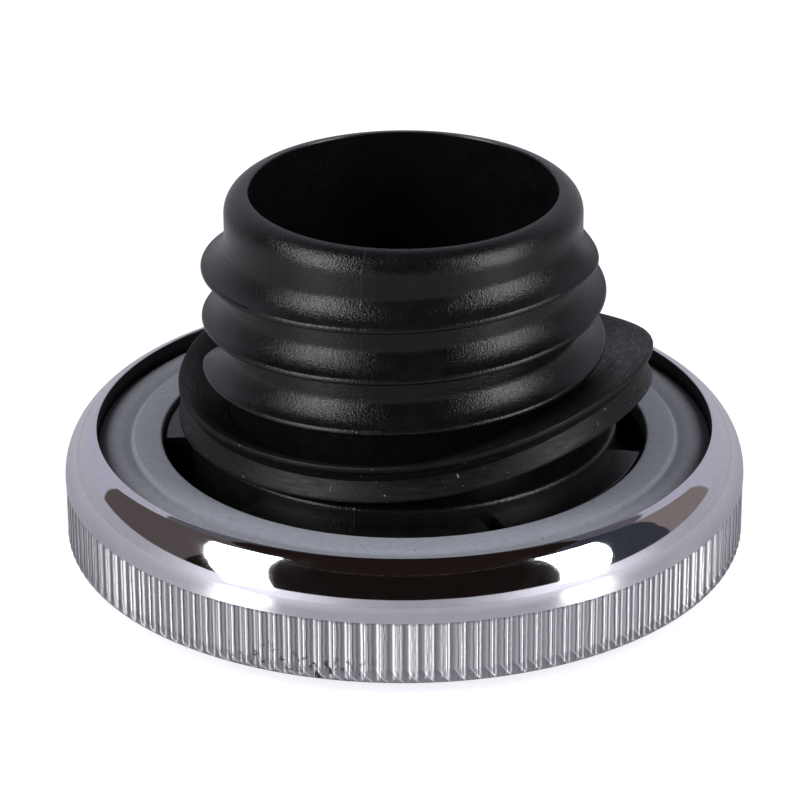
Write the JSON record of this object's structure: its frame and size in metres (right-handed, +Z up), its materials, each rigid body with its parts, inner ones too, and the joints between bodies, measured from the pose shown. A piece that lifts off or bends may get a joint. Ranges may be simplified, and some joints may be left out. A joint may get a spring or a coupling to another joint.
{
  "type": "screw-in fuel cap",
  "caption": "Screw-in fuel tank cap lying on its chrome outer face: fluted shell, grey rim gasket, hollow threaded plug with a double-lip seal, torque ratchet and vent valve.",
  "frame": {"origin": "centre of the flat land of the outer face, on which the cap rests", "axes": "+Z up along the thread axis, from the outer face to the plug's mouth; -Y towards the viewer of the picture"},
  "size_m": [0.082, 0.082, 0.0456],
  "materials": {
    "chrome": "bright chrome plate",
    "gasket_grey": "matt, fine dust",
    "plug_black": "grained moulding",
    "seal_black": "satin, lightly scuffed",
    "inner_black": "smooth moulding",
    "steel": "zinc plated",
    "vent_plastic": "smooth moulding",
    "valve_rubber": "matt"
  },
  "bodies": {
    "shell": {"chrome_shell": "chrome", "cover_gasket": "gasket_grey", "ratchet_ring": "inner_black", "retainer_ring": "inner_black", "retainer_screws": "steel", "wave_spring": "steel"},
    "washer": {"thrust_washer": "steel"},
    "plug": {"threaded_plug": "plug_black", "lip_seal": "seal_black", "vent_body": "vent_plastic", "vent_spring": "steel", "vent_cap": "vent_plastic"},
    "poppet": {"vent_poppet": "vent_plastic", "poppet_seal": "valve_rubber", "vacuum_umbrella": "valve_rubber"}
  },
  "joints": [
    {"name": "ratchet_lift", "type": "slide", "parent": "shell", "child": "washer", "axis": [0, 0, 1], "range_m": [0, 0.00084], "stiffness_N_per_m": 2000, "springref_m": -0.0015, "deforming": ["wave_spring"]},
    {"name": "ratchet_turn", "type": "hinge", "parent": "washer", "child": "plug", "pos_m": [0, 0, 0.007], "axis": [0, 0, -1], "range_deg": [0, 14]},
    {"name": "poppet_lift", "type": "slide", "parent": "plug", "child": "poppet", "axis": [0, 0, -1], "range_m": [0, 0.001], "stiffness_N_per_m": 200, "springref_m": -0.004, "deforming": ["vent_spring"]}
  ],
  "couplings": [
    {"joint": "ratchet_turn", "follows": "ratchet_lift", "rad_per_m": 290.89}
  ]
}
